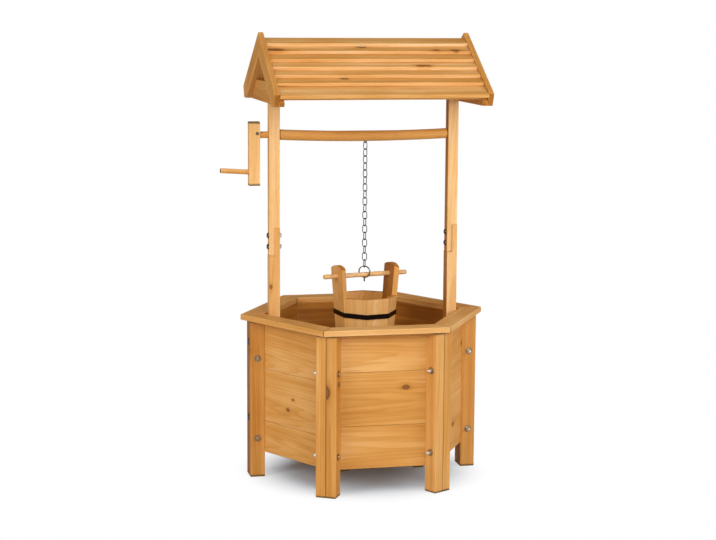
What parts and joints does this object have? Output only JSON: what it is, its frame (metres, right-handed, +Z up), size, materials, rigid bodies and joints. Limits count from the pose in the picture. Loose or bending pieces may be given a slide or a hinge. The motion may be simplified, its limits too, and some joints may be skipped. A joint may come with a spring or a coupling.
{
  "type": "wishing well planter",
  "caption": "Hexagonal wooden planter built as a wishing well, with a slatted gable roof on two uprights and a crank winch that lifts a stave bucket on a chain",
  "frame": {"origin": "on the ground, on the axis of the hexagonal planter", "axes": "+Z up; the front side faces -Y; the winch axis lies along X with the crank at -X"},
  "size_m": [0.69, 0.5542, 1.1361],
  "materials": {
    "stained_fir": "honey-stained softwood, satin",
    "pale_dowel": "turned dowel, satin",
    "zinc_steel": "bright zinc plate",
    "dark_steel": "dark burnished steel",
    "black_band": "black paint, semi-gloss"
  },
  "bodies": {
    "base": {"barge_board_back_left": "stained_fir", "barge_board_back_right": "stained_fir", "barge_board_front_left": "stained_fir", "barge_board_front_right": "stained_fir", "bearer_left": "stained_fir", "bearer_right": "stained_fir", "chain_upper": "zinc_steel", "corner_bolts": "dark_steel", "eave_fillet_back": "stained_fir", "eave_fillet_front": "stained_fir", "floor_boards": "stained_fir", "leg_back_left": "stained_fir", "leg_back_right": "stained_fir", "leg_bolts": "zinc_steel", "leg_front_left": "stained_fir", "leg_front_right": "stained_fir", "leg_left": "stained_fir", "leg_right": "stained_fir", "lower_upright_left": "stained_fir", "lower_upright_right": "stained_fir", "nuts": "zinc_steel", "rafter_back_left": "stained_fir", "rafter_back_right": "stained_fir", "rafter_front_left": "stained_fir", "rafter_front_right": "stained_fir", "rim_back": "stained_fir", "rim_back_left": "stained_fir", "rim_back_right": "stained_fir", "rim_front": "stained_fir", "rim_front_left": "stained_fir", "rim_front_right": "stained_fir", "roof_slats_back": "stained_fir", "roof_slats_front": "stained_fir", "side_back": "stained_fir", "side_back_left": "stained_fir", "side_back_right": "stained_fir", "side_front": "stained_fir", "side_front_left": "stained_fir", "side_front_right": "stained_fir", "splice_bolts": "zinc_steel", "tie_board_left": "stained_fir", "tie_board_right": "stained_fir", "upper_upright_left": "stained_fir", "upper_upright_right": "stained_fir", "washers": "zinc_steel"},
    "winch": {"winch_pole": "stained_fir", "crank_arm": "stained_fir", "crank_handle": "pale_dowel", "crank_screw": "zinc_steel", "chain_staple": "zinc_steel"},
    "chain_end": {"chain_lower": "zinc_steel"},
    "ring": {"bucket_ring": "zinc_steel"},
    "bucket": {"bucket_bottom": "stained_fir", "bucket_dowel": "pale_dowel", "bucket_ear_left": "stained_fir", "bucket_ear_right": "stained_fir", "bucket_hoop_lower": "black_band", "bucket_hoop_upper": "black_band", "bucket_staves": "stained_fir"}
  },
  "joints": [
    {"name": "winch_turn", "type": "hinge", "parent": "base", "child": "winch", "pos_m": [0, 0, 0.8795], "axis": [1, 0, 0], "range_deg": [0, 860]},
    {"name": "bucket_lift", "type": "slide", "parent": "base", "child": "chain_end", "axis": [0, 0, 1], "range_m": [0, 0.22515], "deforming": ["chain_upper"]},
    {"name": "bucket_swivel", "type": "hinge", "parent": "chain_end", "child": "ring", "pos_m": [0.004, 0, 0.523], "axis": [0, 0, 1], "range_deg": [-40, 40]},
    {"name": "bucket_tip", "type": "hinge", "parent": "ring", "child": "bucket", "pos_m": [0.004, 0, 0.51606], "axis": [0.9744, 0.225, 0], "range_deg": [-100, 100]}
  ],
  "couplings": [
    {"joint": "bucket_lift", "follows": "winch_turn", "m_per_rad": 0.015}
  ]
}
